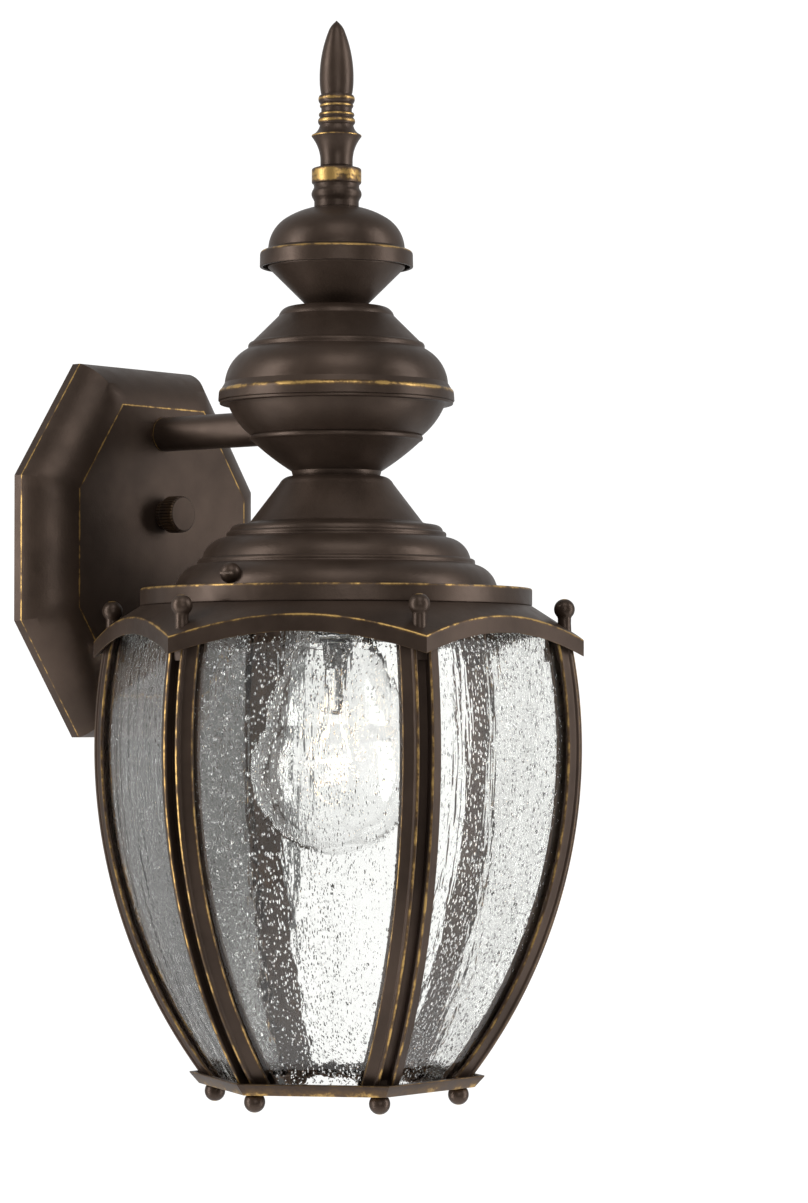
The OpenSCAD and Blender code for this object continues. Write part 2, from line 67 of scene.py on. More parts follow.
TRAY_Z, TRAY_LIP_R, TRAY_BASE_R, TRAY_HOLE_R, TRAY_LIP_H = -192.3, 53.75, 49.8, 33.0, 4.3
TRAY_T, TRAY_LIP_T = 1.5, 1.9
TRAY_FLOOR = TRAY_Z + TRAY_T
COS30 = math.cos(math.radians(30))


# ---- Outlines: points in the plane of radius and height ----
def bow(p, q, s, n=10):
    """Points on an arc from p to q that bulges s to the left of the way from p to q."""
    (px, py), (qx, qy) = p, q
    c = math.hypot(qx - px, qy - py)
    r, k = c * c / (8 * abs(s)) + abs(s) / 2, math.copysign(1, s)
    dx, dy = (qx - px) / c, (qy - py) / c
    lx, ly = -dy * k, dx * k
    ox, oy = (px + qx) / 2 + lx * (abs(s) - r), (py + qy) / 2 + ly * (abs(s) - r)
    h = math.asin(min(1, c / 2 / r))
    turns = [-h + 2 * h * i / n for i in range(n + 1)]
    return [(ox + dx * r * math.sin(a) + lx * r * math.cos(a),
             oy + dy * r * math.sin(a) + ly * r * math.cos(a)) for a in turns]


def beside(p, t):
    """The outline p moved t to its left, mitred at its corners."""
    def side(a, b):
        d = Vector((b[0] - a[0], b[1] - a[1])).normalized()
        return Vector((-d.y, d.x))
    out = []
    for i in range(len(p)):
        a = side(p[max(i - 1, 0)], p[max(i, 1)])
        b = side(p[min(i, len(p) - 2)], p[min(i + 1, len(p) - 1)])
        m = (a + b).normalized()
        out.append((p[i][0] + m.x * t / m.dot(a), p[i][1] + m.y * t / m.dot(a)))
    return out


def sheet(p, t):
    return p + beside(p, t)[::-1]


def rounded(p, radius, closed=True, n=4):
    """The outline p with its sharp corners rounded."""
    out = []
    for i in range(len(p)):
        b = Vector(p[i])
        if not closed and i in (0, len(p) - 1):
            out.append(tuple(b))
            continue
        u, v = Vector(p[i - 1]) - b, Vector(p[(i + 1) % len(p)]) - b
        turn = math.pi - u.angle(v, math.pi)
        if turn < math.radians(16):
            out.append(tuple(b))
            continue
        cut = min(radius * math.tan(turn / 2), 0.45 * u.length, 0.45 * v.length)
        start, end = b + u.normalized() * cut, b + v.normalized() * cut
        for k in range(n + 1):
            t = k / n
            out.append(tuple(start * (1 - t) ** 2 + b * 2 * t * (1 - t) + end * t * t))
    return out


def finer(p, step, closed=False, rubs=()):
    """The outline p with points no more than step apart, and closer beside a rubbed edge."""
    out = []
    ends = p[1:] + p[:1] if closed else p[1:]
    for a, b in zip(p, ends):
        a, b = Vector(a), Vector(b)
        length = (b - a).length
        samples = [a.lerp(b, t) for t in (0, 0.25, 0.5, 0.75, 1)]
        worn = any((q - Vector((r, z))).length < 3 * w for r, z, w in rubs for q in samples)
        n = max(1, math.ceil(length / (0.3 if worn else step)))
        out += [tuple(a.lerp(b, i / n)) for i in range(n)]
    return out if closed else out + [p[-1]]


# ---- Meshes ----
def linked(name, bm, material):
    """Puts a finished mesh into the scene with one material."""
    mesh = bpy.data.meshes.new(name)
    bm.to_mesh(mesh)
    bm.free()
    mesh.materials.append(material)
    obj = bpy.data.objects.new(name, mesh)
    bpy.context.scene.collection.objects.link(obj)
    return obj


def piece(name, bm, material, node, body="lantern", sharp=38):
    """A piece in the lantern's own frame that stands for a CAD node and rides on a body."""
    bmesh.ops.remove_doubles(bm, verts=bm.verts, dist=1e-7)
    bmesh.ops.recalc_face_normals(bm, faces=bm.faces)
    obj = linked(name, bm, material)
    for f in obj.data.polygons:
        f.use_smooth = True
    obj.data.set_sharp_from_angle(angle=math.radians(sharp))
    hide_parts(node)
    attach(obj, body)


def rub_of(point, rubs):
    """How worn a point of an outline is: 1 on a rubbed edge, falling to 0 over its width."""
    return max([math.exp(-(math.hypot(point[0] - r, point[1] - z) / w) ** 2) for r, z, w in rubs] + [0])


def loft(bm, rings, rubs=None, closed_way=False):
    """Faces between closed rings of points, in millimetres. rubs holds a wear value for each point."""
    layer = bm.verts.layers.float.get("rub") or bm.verts.layers.float.new("rub")
    made = []
    for i, ring in enumerate(rings):
        row = [bm.verts.new(Vector(p) * MM) for p in ring]
        for j, v in enumerate(row):
            v[layer] = rubs[i][j] if rubs else 0.0
        made.append(row)
    pairs = list(zip(made, made[1:])) + ([(made[-1], made[0])] if closed_way else [])
    for a, b in pairs:
        for j in range(len(a)):
            k = (j + 1) % len(a)
            bm.faces.new((a[j], a[k], b[k], b[j]))
    return made


def turned(bm, outline, rubs=(), segments=112, place=None, closed=False, step=0.9):
    """Revolves an outline about an upright axis, or about place's Z."""
    pts = finer(outline, step, closed, rubs)
    rings, wear = [], []
    for r, z in pts:
        ring = []
        for k in range(segments):
            a = math.tau * k / segments
            p = Vector((r * math.cos(a), r * math.sin(a), z))
            ring.append(place(p) if place else p + Vector((0, AXIS_Y, 0)))
        rings.append(ring)
        wear.append([rub_of((r, z), rubs)] * segments)
    loft(bm, rings, wear, closed_way=closed)
    return bm


def lathe(name, outline, material, node, rubs=(), body="lantern", **more):
    """A piece made by revolving an outline."""
    piece(name, turned(bmesh.new(), outline, rubs, **more), material, node, body)


def box_into(bm, low, high, place):
    corners = [Vector((x, y, z))
               for z in (low[2], high[2]) for y in (low[1], high[1]) for x in (low[0], high[0])]
    v = [bm.verts.new(place(c) * MM) for c in corners]
    for f in ((0, 2, 3, 1), (4, 5, 7, 6), (0, 1, 5, 4), (2, 6, 7, 3), (0, 4, 6, 2), (1, 3, 7, 5)):
        bm.faces.new([v[i] for i in f])


def around(angle):
    """Places a point given as (outwards, sideways, height) at an angle about the lantern's axis."""
    a = math.radians(angle)
    c, s = math.cos(a), math.sin(a)
    return lambda p: Vector((p[0] * c - p[1] * s, AXIS_Y + p[0] * s + p[1] * c, p[2]))


def outwards(angle, radius, z):
    """Places a shape turned about Z so that it points away from the lantern's axis."""
    at = around(angle)
    return lambda p: at(Vector((radius + p[2], p[0], z + p[1])))


def from_wall(x, z):
    """Places a shape turned about Z so that it points away from the wall."""
    return lambda p: Vector((x + p[0], -p[2], z + p[1]))


# ---- Materials ----
class Nodes:
    """Adds shader nodes to a material or a world and joins them."""

    def __init__(self, data, shader="Principled BSDF", where="Object"):
        data.use_nodes = True
        self.data = data
        self.tree = data.node_tree
        self.shader = self.tree.nodes[shader]
        self.where = self.tree.nodes.new("ShaderNodeTexCoord").outputs[where]

    def feed(self, node, inputs):
        """Gives each named input a value, or joins it to another node's output."""
        for key, value in dict(inputs).items():
            if isinstance(value, bpy.types.NodeSocket):
                self.tree.links.new(value, node.inputs[key])
            else:
                node.inputs[key].default_value = value

    def add(self, kind, inputs=(), **settings):
        node = self.tree.nodes.new(kind)
        for key, value in settings.items():
            setattr(node, key, value)
        self.feed(node, inputs)
        return node

    def set(self, **values):
        """Feeds the main shader; a space in an input's name is written as an underscore."""
        self.feed(self.shader, {key.replace("_", " "): value for key, value in values.items()})

    def noise(self, scale, detail, rough=0.55, stretch=None):
        where = self.where
        if stretch:
            where = self.add("ShaderNodeMapping", {"Vector": where, "Scale": stretch}).outputs[0]
        return self.add("ShaderNodeTexNoise", {"Vector": where, "Scale": scale, "Detail": detail,
                        "Roughness": rough}).outputs["Fac"]

    def math(self, op, a, b):
        return self.add("ShaderNodeMath", {0: a, 1: b}, operation=op).outputs[0]

    def span(self, value, low, high, out_low=0.0, out_high=1.0):
        return self.add("ShaderNodeMapRange", {"Value": value, "From Min": low, "From Max": high,
                        "To Min": out_low, "To Max": out_high}).outputs[0]

    def blend(self, factor, a, b):
        return self.add("ShaderNodeMix", {0: factor, 6: a, 7: b}, data_type="RGBA").outputs[2]

    def bump(self, height, distance, strength, after=None):
        inputs = {"Height": height, "Distance": distance, "Strength": strength}
        if after:
            inputs["Normal"] = after
        return self.add("ShaderNodeBump", inputs).outputs[0]


def new_material(name):
    return Nodes(bpy.data.materials.new(name))


BRONZE_DARK = (0.050, 0.0328, 0.0235, 1)
BRONZE_LIGHT = (0.076, 0.0510, 0.0375, 1)
GOLD = (0.50, 0.315, 0.105, 1)
GOLD_DIM = (0.20, 0.115, 0.040, 1)


def bronze():
    """Satin bronze paint with a fine grain, rubbed through to gold where the rub attribute is high."""
    n = new_material("antique_bronze")
    tone = n.span(n.noise(38, 4), 0.35, 0.65)
    fine = n.noise(900, 2)
    broad = n.noise(170, 3)
    rub = n.add("ShaderNodeAttribute", attribute_name="rub").outputs["Fac"]
    patch = n.span(broad, 0.32, 0.68, 0.25, 1.25)
    speck = n.span(fine, 0.3, 0.7, 0.75, 1.2)
    worn = n.math("MULTIPLY", n.math("MULTIPLY", rub, patch), speck)
    gold = n.span(worn, 0.38, 0.66)
    halo = n.span(worn, 0.10, 0.60, 0.0, 0.8)
    paint = n.blend(tone, BRONZE_DARK, BRONZE_LIGHT)
    colour = n.blend(gold, n.blend(halo, paint, GOLD_DIM), GOLD)
    n.set(Base_Color=colour, Metallic=n.span(gold, 0, 1, 0.60, 0.80),
          Roughness=n.math("ADD", n.span(broad, 0.3, 0.7, 0.36, 0.46), n.span(gold, 0, 1, 0, -0.06)),
          Normal=n.bump(n.noise(1500, 2, 0.6), 0.00012, 0.35, n.bump(n.noise(260, 2), 0.0002, 0.12)),
          IOR=1.35, Coat_Weight=0.04, Coat_Roughness=0.28)
    return n.data


def plain_metal(name, colour, dull, rough, metallic=1.0):
    """Machined metal: faint turning marks, stains and an uneven shine."""
    n = new_material(name)
    stain = n.span(n.noise(90, 4), 0.35, 0.7)
    marks = n.noise(220, 3, 0.6, (1, 1, 9))
    n.set(Base_Color=n.blend(stain, (*colour, 1), (*dull, 1)),
          Roughness=n.span(marks, 0.3, 0.7, rough - 0.06, rough + 0.12),
          Normal=n.bump(marks, 0.0001, 0.25), Metallic=metallic)
    return n.data


def porcelain():
    n = new_material("glazed_porcelain")
    n.set(Base_Color=n.blend(n.span(n.noise(60, 3), 0.4, 0.7), (0.86, 0.84, 0.77, 1), (0.78, 0.75, 0.67, 1)),
          Roughness=n.span(n.noise(200, 2), 0.3, 0.7, 0.12, 0.24),
          Normal=n.bump(n.noise(150, 2), 0.0003, 0.15), Coat_Weight=0.5, Coat_Roughness=0.08)
    return n.data


def plastic(name, colour, rough=0.45):
    n = new_material(name)
    darker = (*(0.75 * c for c in colour), 1)
    n.set(Base_Color=n.blend(n.span(n.noise(120, 3), 0.35, 0.65), (*colour, 1), darker),
          Roughness=n.span(n.noise(300, 2), 0.3, 0.7, rough - 0.05, rough + 0.08),
          Normal=n.bump(n.noise(700, 2), 0.0001, 0.2))
    return n.data


def seeded_glass():
    """Clear glass with upright streaks and small drawn-out bubbles."""
    n = new_material("seeded_glass")
    wave = n.noise(24, 2, 0.5, (1, 1, 0.25))
    cords = n.noise(230, 2, 0.5, (1, 1, 0.10))
    cells = n.add("ShaderNodeMapping", {"Vector": n.where, "Scale": (1, 1, 0.55)}).outputs[0]
    seeds, large = (n.add("ShaderNodeTexVoronoi", {"Vector": cells, "Scale": scale}).outputs["Distance"]
                    for scale in (760.0, 330.0))
    bumps = n.bump(n.span(seeds, 0.06, 0.28), 0.00026, 0.34)
    bumps = n.bump(n.span(large, 0.05, 0.17), 0.0004, 0.50, bumps)
    bumps = n.bump(cords, 0.0006, 0.24, bumps)
    bumps = n.bump(wave, 0.0045, 0.22, bumps)
    n.set(Base_Color=(0.97, 0.975, 0.96, 1), Roughness=0.01, IOR=1.48, Transmission_Weight=1.0, Normal=bumps)
    return n.data


def clear_glass():
    n = new_material("bulb_glass")
    n.set(Base_Color=(0.98, 0.98, 0.98, 1), Roughness=0.0, IOR=1.45, Transmission_Weight=1.0,
          Normal=n.bump(n.noise(40, 2), 0.0005, 0.08))
    return n.data


def hot_wire():
    n = new_material("filament")
    glow = n.span(n.noise(300, 2), 0.3, 0.7, 150.0, 220.0)
    n.set(Base_Color=(0.35, 0.30, 0.25, 1), Metallic=1.0, Roughness=0.4,
          Emission_Color=(1.0, 0.72, 0.42, 1), Emission_Strength=glow)
    return n.data


BRONZE = bronze()
STEEL = plain_metal("zinc_plate", (0.62, 0.63, 0.65), (0.45, 0.46, 0.47), 0.32)
BRASS = plain_metal("brass", (0.72, 0.53, 0.22), (0.48, 0.33, 0.13), 0.28)
GREEN = plain_metal("green_plate", (0.05, 0.33, 0.10), (0.03, 0.22, 0.07), 0.35, 0.7)
COPPER = plain_metal("copper", (0.80, 0.42, 0.25), (0.50, 0.24, 0.13), 0.3)
TINNED = plain_metal("lamp_cap_metal", (0.76, 0.71, 0.58), (0.58, 0.53, 0.42), 0.26)
PORCELAIN = porcelain()
BLACK_GLASS = plastic("black_glass", (0.012, 0.012, 0.014), 0.12)
BLACK_LEAD = plastic("black_lead", (0.015, 0.015, 0.016))
WHITE_LEAD = plastic("white_lead", (0.72, 0.71, 0.67))
SEEDED = seeded_glass()
CLEAR = clear_glass()
HOT = hot_wire()


# ---- Wall plate: eight sides that share one coved section ----
PLATE_HALF_W, PLATE_HALF_H, PLATE_SLANT, SLANT_ANGLE = 60.3, 68.75, 64.4, math.radians(35.5)
PLATE_D, PLATE_RIM, COVE_W, COVE_SAG, PLATE_T = 18.0, 3.6, 15.3, 3.0, 2.0
PLATE_POINTS, HOLE_POINTS, STUD_HOLE_R = 80, 48, 2.38
WASHER_T, CAP_NUT_L = 3.0, 7.0


def plate_ring(inset, depth):
    """Points round the plate's outline moved inwards, at a depth from the wall."""
    w, h, s = PLATE_HALF_W - inset, PLATE_HALF_H - inset, PLATE_SLANT - inset
    c, d = math.cos(SLANT_ANGLE), math.sin(SLANT_ANGLE)
    z, x = (s - w * c) / d, (s - h * d) / c
    corners = [(w, z), (x, h), (-x, h), (-w, z), (-w, -z), (-x, -h), (x, -h), (w, -z)]
    ring, per_side = [], PLATE_POINTS // len(corners)
    for a, b in zip(corners, corners[1:] + corners[:1]):
        ring += [Vector((a[0] + (b[0] - a[0]) * i / per_side, -depth, a[1] + (b[1] - a[1]) * i / per_side))
                 for i in range(per_side)]
    return ring


def field(bm, ring, holes, depth):
    """Fills a ring of vertices around round holes and returns the holes' vertices."""
    edges = [bm.edges.get((v, ring[i - 1])) for i, v in enumerate(ring)]
    circles = []
    for x, z, r in holes:
        circle = [bm.verts.new(Vector((x + r * math.cos(a), -depth, z + r * math.sin(a))) * MM)
                  for a in (math.tau * k / HOLE_POINTS for k in range(HOLE_POINTS))]
        edges += [bm.edges.new((v, circle[i - 1])) for i, v in enumerate(circle)]
        circles.append(circle)
    bmesh.ops.triangle_fill(bm, use_beauty=True, use_dissolve=False, edges=edges)
    return circles


def make_wall_plate():
    bm = bmesh.new()
    cove = bow((0, PLATE_RIM), (COVE_W, PLATE_D), COVE_SAG, 18)
    outer = rounded([(0, 0)] + cove + [(COVE_W + 6, PLATE_D)], 0.7, False, 6)
    outer = finer(outer, 0.45)
    moved = [q for q in beside(cove, -PLATE_T) if q[0] > PLATE_T and 0.2 < q[1] < PLATE_D - PLATE_T]
    inner = [(PLATE_T, 0)] + moved + [(COVE_W + 4, PLATE_D - PLATE_T)]
    rubs = [(0.1, PLATE_RIM - 0.1, 0.34), (COVE_W, PLATE_D, 0.36)]
    wear = [[0.9 * rub_of(q, rubs)] * PLATE_POINTS for q in outer]
    front = loft(bm, [plate_ring(d, y) for d, y in outer], wear)
    back = loft(bm, [plate_ring(d, y) for d, y in inner])
    holes = [(0, ARM_Z, PIPE_R + PIPE_GAP), (0, NUT_Z, STUD_HOLE_R)]
    bridges = [(front[0], back[0])]
    bridges += zip(field(bm, front[-1], holes, PLATE_D), field(bm, back[-1], holes, PLATE_D - PLATE_T))
    for a, b in bridges:
        for i in range(len(a)):
            bm.faces.new((a[i], a[i - 1], b[i - 1], b[i]))
    piece("wall_plate_cast", bm, BRONZE, "wall_plate", sharp=30)


# ---- Arm, nut and knurling ----
def knurled(node, radius, low, high, teeth, through):
    """A turned part with straight flutes along its edge, pointing away from the wall."""
    segments, bore, chamfer, cover, flute, soft = teeth * 6, 2.13, 0.7, 1.6, 0.42, 0.35
    outline = [(bore, low), (radius - chamfer, low), (radius, low + chamfer), (radius, high - chamfer),
               (radius - chamfer, high)]
    if through:
        outline += [(bore, high)]
    else:
        outline = [(0, high - cover), (bore, high - cover)] + outline + [(0, high)]
    pts = finer(rounded(outline, soft, through), 0.5, through)
    rings, wear = [], []
    for r, y in pts:
        ring = []
        for k in range(segments):
            a = math.tau * k / segments
            dip = flute * max(0, math.cos(teeth * a)) ** 2 if r > radius - soft else 0
            ring.append(Vector(((r - dip) * math.cos(a), -y, NUT_Z + (r - dip) * math.sin(a))))
        rings.append(ring)
        wear.append([0.25 if radius - 0.5 < r else 0.0] * segments)
    bm = bmesh.new()
    loft(bm, rings, wear, closed_way=through)
    piece(f"{node}_knurled", bm, BRONZE, node, node, 50)


def make_arm():
    start, end = PLATE_D, -AXIS_Y - 13.5
    outline = rounded([(PIPE_R, start), (ARM_R, start), (ARM_R, end), (PIPE_R, end)], 0.3)
    lathe("arm_sleeve", outline, BRONZE, "arm_tube", rubs=[(ARM_R, start, 0.6)], closed=True,
          place=from_wall(0, ARM_Z), segments=72, step=2)


# ---- Finial and spun shells ----
def make_stack():
    rod, seat, bore = ROD_R + ROD_GAP, COLLAR_TOP + 0.06, ROD_R + 0.05
    finial = ([(0, TIP_Z)] + bow((0.5, 188.2), (3.1, 184.4), 0.35, 4) + bow((3.1, 184.4), (6.1, 167.2), 0.85)
              + bow((6.1, 167.2), (5.5, 161.7), 0.15, 4) + bow((6.1, 161.6), (6.1, 158.9), 0.45, 8)
              + bow((5.7, 158.6), (5.7, 157.2), 0.35, 6) + [(5.5, 157), (5.5, 155.5)]
              + bow((6, 155.4), (6, 153.9), 0.4, 6) + bow((6, 153.6), (6, 150.9), 0.7, 8)
              + bow((6.1, 150.5), (8.9, 147.3), -0.5, 6) + bow((9, 146.9), (5.8, 138.4), -0.75)
              + [(5.8, seat), (bore, seat), (bore, 148.6), (0, 148.6)])
    ring_rubs = [(9, 147.1, 0.3), (6.6, 152.4, 0.6), (6.4, 154.7, 0.4), (6.05, 157.9, 0.4), (6.5, 160.4, 0.6)]
    lathe("finial_turned", rounded(finial, 0.25, False), BRONZE, "finial", ring_rubs, "finial", step=0.6,
          segments=80)
    collar = ([(rod, COLLAR_TOP), (5.8, COLLAR_TOP)] + bow((8.2, 135.4), (8.9, 134.6), 0.2, 4)
              + bow((8.9, 130.6), (8.2, 129.6), 0.25, 4) + [(8.1, 128.5)]
              + bow((8.4, 127.7), (8.4, 124.4), 0.6, 8) + [(8, 123.5), (8, DOME_TOP), (rod, DOME_TOP)])
    lathe("collar_turned", rounded(collar, 0.25), BRONZE, "collar", closed=True, step=0.6, segments=80,
          rubs=[(9.3, 133.2, 1.7), (9.3, 131.4, 1.3)])
    dome = ([(rod, DOME_TOP)] + bow((8.4, DOME_TOP), (18.5, 117.1), 0.5, 6)
            + bow((18.5, 117.1), (24.5, 106.4), 1.5) + bow((26.4, 105.6), (27.4, 104.4), 0.25, 4)
            + [(27.5, DOME_RIM)])
    lathe("upper_dome_spun", rounded(sheet(dome, -SHEET), 0.35), BRONZE, "upper_dome", closed=True,
          rubs=[(26.9, 105.2, 0.6)])
    cup = [(rod, CUP_BASE), (10.6, CUP_BASE), (11.3, 86.6), (24.5, DOME_RIM), (24.5, 103.6)]
    lathe("upper_cup_spun", rounded(sheet(cup, SHEET), 0.4), BRONZE, "upper_cup", closed=True)
    shell = ([(rod, CUP_BASE)] + bow((16.6, CUP_BASE), (20.7, 82.2), 0.9, 8) + [(30.3, 72.7)]
             + bow((30.5, 72.7), (31.6, 70.9), 0.45, 8) + bow((31.7, 70.4), (40, 58), 2, 14)
             + bow((41.2, 56), (42.1, 54.6), 0.2, 4) + [(42.3, SHELL_RIM)])
    lathe("mid_shell_spun", rounded(sheet(shell, -SHEET), 0.35), BRONZE, "mid_shell", closed=True,
          rubs=[(41.7, 55.2, 0.85)])
    bowl = ([(PIPE_R + PIPE_GAP, ROOF_TOP), (15.6, ROOF_TOP)] + bow((16.1, 26.6), (30.0, 37.3), -0.4, 10)
            + bow((30.2, 37.4), (30.3, 39.4), -0.75, 8) + bow((30.9, 39.6), (38.4, 49.4), -0.7, 10)
            + [(39, SHELL_RIM - SHEET), (41.8, SHELL_RIM - SHEET)])
    lathe("mid_bowl_spun", rounded(sheet(bowl, SHEET), 0.3), BRONZE, "mid_bowl", closed=True)
    roof = ([(PIPE_R + PIPE_GAP, ROOF_TOP)] + bow((15.6, ROOF_TOP), (20.4, 22.1), 0.9, 8) + [(31, 8.2)]
            + bow((34.6, 7.1), (38.2, 4.9), 1.0, 8) + bow((38.4, 4.9), (39.3, 3.4), 0.45, 8)
            + bow((39.4, 2.8), (48, -4.9), 2.0, 12) + bow((48.6, -4.9), (49.6, -6.4), 0.45, 8)
            + bow((49.8, -6.9), (57.6, DISC_TOP), 1.8, 12))
    lathe("roof_dome_spun", rounded(sheet(roof, -SHEET), 0.3), BRONZE, "roof_dome", closed=True,
          segments=128)


def slotted_ball(bm, at):
    """A ball with a slot cut across its outer side; its outward way is X in at's frame."""
    rows, segments, half, floor, wall = 30, 64, 0.45, 2.3, 0.02
    heights = [-BALL_R * math.cos(math.pi * i / rows) for i in range(rows + 1)]
    heights = [h for h in heights if abs(abs(h) - half) > 4 * wall]
    heights = sorted(heights + [-half, -half + wall, half - wall, half])
    rings = []
    for h in heights:
        r = math.sqrt(max(0, BALL_R ** 2 - h * h))
        cut = abs(h) < half - wall / 2
        ring = []
        for k in range(segments):
            a = math.tau * k / segments
            x, y = r * math.cos(a), r * math.sin(a)
            ring.append(at(Vector((min(x, floor) if cut else x, y, h))))
        rings.append(ring)
    loft(bm, rings, [[0.1] * segments] * len(rings))


def ball_arc(middle, way, steps):
    """A ball's outline from its outer pole, at the top for way 1 and at the foot for way -1."""
    angles = [math.pi * (0.5 - i / 32) for i in range(steps + 1)]
    return [(BALL_R * math.cos(a), middle + way * BALL_R * math.sin(a)) for a in angles]


def ball_set(name, node, circle, outline, rub):
    """Six ball-headed screws, upright, on a circle about the lantern's axis."""
    bm = bmesh.new()
    for k in range(6):
        at = around(60 * k)
        turned(bm, outline, place=lambda p: at(Vector((circle + p.x, p.y, p.z))), segments=40, rubs=[rub],
               step=0.5)
    piece(name, bm, BRONZE, node)


def make_screws():
    bm = bmesh.new()
    tip, root = -10, -2
    shank = rounded([(0, tip), (SCREW_R, tip), (SCREW_R, root), (0, root)], 0.3, False)
    for turn in (0, 180):
        at = around(turn)
        slotted_ball(bm, lambda p: at(Vector((ROOF_SCREW_R + p.x, p.y, ROOF_SCREW_Z + p.z))))
        turned(bm, shank, place=outwards(turn, ROOF_SCREW_R, ROOF_SCREW_Z), segments=24)
    piece("roof_screw_set", bm, BRONZE, "roof_screws")

    z = cone_z(BALL_CIRCLE)
    middle, seat, end = z + BALL_LIFT, z - COVER_T, z - 8
    neck = [(BALL_NECK_R, z + 3.3), (2.35, z + 1.4), (2.5, seat), (SCREW_R, seat), (SCREW_R, end), (0, end)]
    outline = ball_arc(middle, 1, 24) + neck
    ball_set("crown_ball_set", "crown_ball_screws", BALL_CIRCLE, outline, (1.0, middle + 3.6, 0.8))

    middle, end = TRAY_Z - FOOT_DROP, TRAY_FLOOR + 3.5
    neck = [(BALL_NECK_R, middle + 2.35), (BALL_NECK_R, TRAY_Z), (SCREW_R, TRAY_Z), (SCREW_R, end), (0, end)]
    outline = ball_arc(middle, -1, 22) + neck
    ball_set("foot_ball_set", "foot_ball_screws", FOOT_CIRCLE, outline, (1.0, middle - 3.6, 0.6))


# ---- Roof disc and crown ----
def cone_z(r):
    return DISC_LOW - (r - DISC_R) * CONE_FALL


def make_disc():
    """The disc with its upstand inside the roof dome and three bosses for the screws from below."""
    upstand_r, upstand_top, boss_top = 50.0, -9.6, DISC_TOP - 1
    boss_r, boss_bore_r, boss_circle = 3.5, 1.75, 62.0
    outline = [(upstand_r, upstand_top), (upstand_r, DISC_TOP), (DISC_R, DISC_TOP), (DISC_R, DISC_LOW),
               (DISC_R - DISC_T, DISC_LOW), (DISC_R - DISC_T, DISC_TOP - DISC_T),
               (upstand_r - DISC_T, DISC_TOP - DISC_T), (upstand_r - DISC_T, upstand_top)]
    bm = turned(bmesh.new(), rounded(outline, 0.75, True, 6), [(69.6, -15.9, 0.55)], closed=True,
                segments=144)
    boss = [(boss_bore_r, DISC_LOW), (boss_r, DISC_LOW), (boss_r, boss_top), (boss_bore_r, boss_top)]
    for k in range(3):
        at = around(30 + 120 * k)
        turned(bm, rounded(boss, 0.2), closed=True, place=lambda p: at(Vector((boss_circle + p.x, p.y, p.z))),
               segments=32)
    piece("roof_disc_spun", bm, BRONZE, "roof_disc")


def crown_section(angle):
    """Corners of the crown's section at an angle; its band is flat on each of the six sides."""
    off = math.radians(angle % 60 - 30)
    out, inn, step = BAND_A / math.cos(off), (BAND_A - BAND_T) / math.cos(off), DISC_R - 2
    under = DISC_LOW - FLANGE_T
    corners = [(FLANGE_R, DISC_LOW), (DISC_R, DISC_LOW), (out, cone_z(out)), (out, cone_z(out) - BAND_H),
               (inn, cone_z(inn) - BAND_H), (inn, cone_z(inn) - COVER_T), (step, cone_z(step) - COVER_T),
               (step, under), (FLANGE_R, under)]
    return [Vector(q) for q in corners]


def make_crown():
    """A cone cut off by a hexagonal band, lofted round so that the band's edges arch."""
    bm = bmesh.new()
    rings, wear = [], []
    per_side, bend_steps, flat_steps = 28, 5, 6
    softness = (0.2, 0.3, 0.6, 0.45, 0.45, 0.3, 0.2, 0.2, 0.2)
    worn = {2: 0.85, 3: 0.4}
    for k in range(6 * per_side):
        t = (k % per_side) / per_side
        angle = 60 * (k // per_side) + 60 * (0.5 - 0.5 * math.cos(math.pi * t))
        corners = crown_section(angle)
        pts, marks = [], []
        for i, (b, near) in enumerate(zip(corners, softness)):
            after = corners[(i + 1) % len(corners)]
            u, v = corners[i - 1] - b, after - b
            u *= min(near, 0.4 * u.length) / u.length
            v *= min(near, 0.4 * v.length) / v.length
            for j in range(bend_steps + 1):
                s = j / bend_steps
                pts.append(b + u * (1 - s) ** 2 + v * s * s)
                marks.append(worn.get(i, 0.0) * math.exp(-((j - bend_steps / 2) / 2.2) ** 2))
            pts += [(b + v).lerp(after, m / flat_steps) for m in range(1, flat_steps)]
            marks += [0.0] * (flat_steps - 1)
        at = around(angle)
        rings.append([at(Vector((q.x, 0, q.y))) for q in pts])
        wear.append(marks)
    loft(bm, rings, wear, closed_way=True)
    piece("crown_formed", bm, BRONZE, "crown", sharp=28)


# ---- Cage: ribs, glass and tray ----
RIB_CENTRE = WAIST_R - RIB_CURVE
DROP = WAIST_Z - TRAY_FLOOR
RIB_LOW_R = RIB_CENTRE + math.sqrt(RIB_CURVE ** 2 - DROP ** 2)
PANEL_FALL = (WAIST_R - RIB_LOW_R) * COS30
PANEL_CURVE = (DROP ** 2 + PANEL_FALL ** 2) / (2 * PANEL_FALL)
PANEL_CENTRE = WAIST_R * COS30 - PANEL_CURVE
GLASS_T, GLASS_IN, GLASS_EDGE, GLASS_TOP_GAP, GLASS_FOOT_GAP = 3.0, 1.35, 6.4, 0.6, 0.2
RIB_HALF = [(-3, 0), (-3, 1.9), (-0.5, 1.9), (0, 2.3), (0, 3.1), (-0.5, 3.6), (-1.3, 3.6), (-3.2, 6.9),
            (-4.6, 6.9), (-2.9, 3.9), (-4.2, 1.9), (-6.5, 1.9), (-8.4, 5.6), (-9.4, 5.6), (-9.4, 0)]
RIB_RUBS = [(0, 2.7, 0.55), (-3.6, 6.9, 0.5)]
LUG_HALF, HEAD_IN, HEAD_OUT, HEAD_LOW, FOOT_IN, FOOT_OUT, FOOT_H = 2.6, 74.0, 84.0, -42.0, 38.5, 46.5, 5.5


